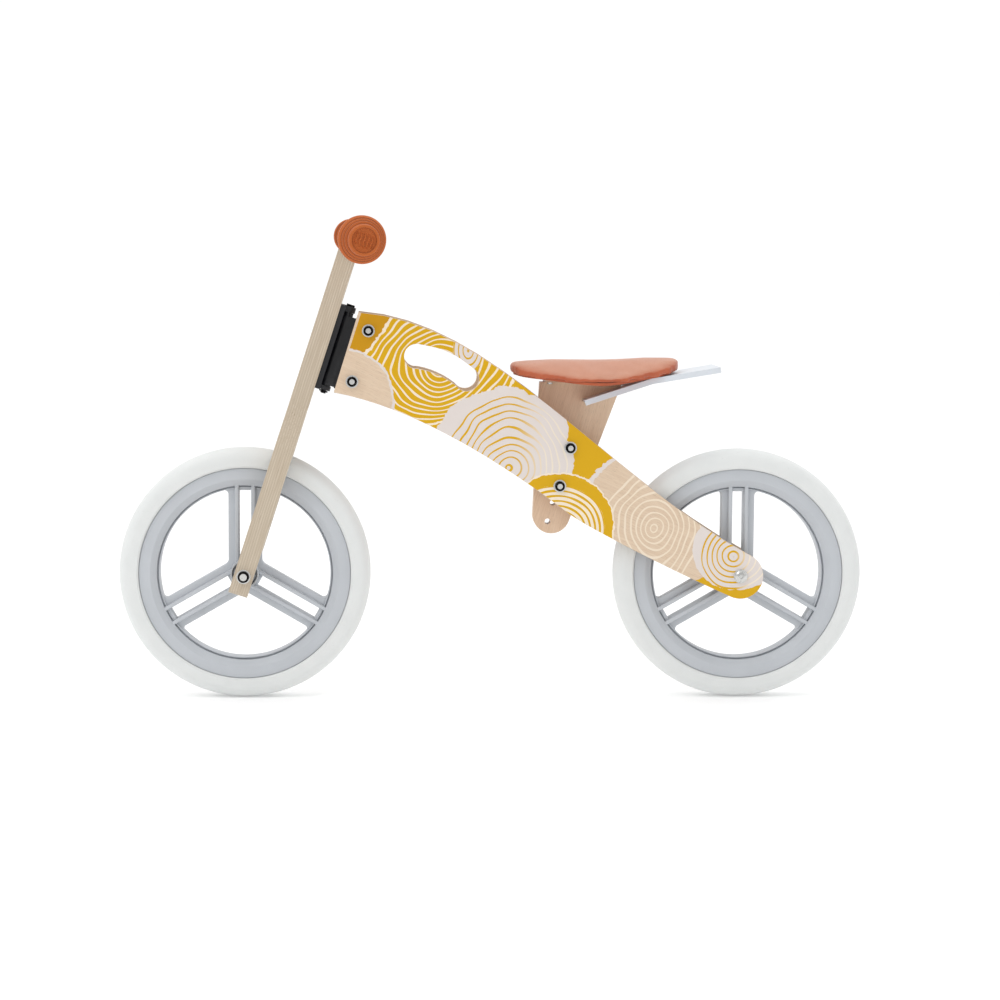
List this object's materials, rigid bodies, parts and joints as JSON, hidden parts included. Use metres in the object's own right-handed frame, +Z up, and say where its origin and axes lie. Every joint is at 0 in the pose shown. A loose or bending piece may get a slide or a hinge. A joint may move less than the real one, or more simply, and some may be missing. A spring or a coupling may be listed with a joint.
{
  "type": "balance bike",
  "caption": "Pedal-free wooden balance bike for a small child: arched plywood side panels, steerable plywood fork, foam-tyred wheels, padded height-adjustable seat and a short rear mudguard.",
  "frame": {"origin": "on the floor, midway between the two axles and midway across the bike", "axes": "+X to the rear of the bike, +Y to the rider's right, +Z up"},
  "size_m": [0.85, 0.3846, 0.5469],
  "materials": {
    "birch_plywood": "satin lacquer, ply lines on the cut edges",
    "black_plastic": "fine moulded texture",
    "black_steel": "black oxide",
    "eva_foam": "matt closed-cell foam",
    "grey_plastic": "satin moulded",
    "grip_rubber": "soft matt rubber",
    "printed_plywood": "satin lacquered birch plywood with a yellow, cream and pale grey tree-ring print on its outer face",
    "seat_cover": "fine-grained artificial leather over foam",
    "white_plastic": "semi-gloss",
    "zinc_steel": "zinc plated"
  },
  "bodies": {
    "frame": {"left_side_panel": "printed_plywood", "right_side_panel": "printed_plywood", "head_block": "black_plastic", "head_bolts": "zinc_steel", "head_washers": "zinc_steel", "head_nuts": "black_steel", "steering_bushes": "black_plastic", "rear_axle": "zinc_steel", "rear_axle_nut": "black_steel", "rear_axle_washers": "zinc_steel", "rear_axle_spacers": "zinc_steel", "rear_bearing_cores": "zinc_steel", "rear_hub_sleeve": "zinc_steel", "seat_post": "birch_plywood", "post_spacers": "birch_plywood", "seat_bolts": "zinc_steel", "seat_washers": "zinc_steel", "seat_nuts": "black_steel", "seat_plate": "birch_plywood", "seat_shell": "black_plastic", "seat_cushion": "seat_cover", "seat_screws": "zinc_steel", "shell_screws": "zinc_steel", "mudguard": "white_plastic", "mudguard_screws": "zinc_steel"},
    "steering": {"steering_bracket": "black_plastic", "steering_pin": "black_steel", "pin_clip": "black_steel", "bracket_screws": "zinc_steel", "fork": "birch_plywood", "handlebar": "birch_plywood", "handlebar_screws": "zinc_steel", "left_grip": "grip_rubber", "right_grip": "grip_rubber", "front_axle": "zinc_steel", "front_axle_nut": "black_steel", "front_axle_washers": "zinc_steel", "front_axle_spacers": "zinc_steel", "front_bearing_cores": "zinc_steel", "front_hub_sleeve": "zinc_steel"},
    "front_wheel": {"front_tyre": "eva_foam", "front_rim": "grey_plastic", "front_bearings": "zinc_steel"},
    "rear_wheel": {"rear_tyre": "eva_foam", "rear_rim": "grey_plastic", "rear_bearings": "zinc_steel"}
  },
  "joints": [
    {"name": "steering_turn", "type": "hinge", "parent": "frame", "child": "steering", "pos_m": [-0.17943, 0, 0.39368], "axis": [0.304, 0, 0.9527], "range_deg": [-35, 35]},
    {"name": "front_wheel_spin", "type": "hinge", "parent": "steering", "child": "front_wheel", "pos_m": [-0.282, 0, 0.143], "axis": [0, 1, 0], "continuous": true},
    {"name": "rear_wheel_spin", "type": "hinge", "parent": "frame", "child": "rear_wheel", "pos_m": [0.282, 0, 0.143], "axis": [0, 1, 0], "continuous": true}
  ]
}
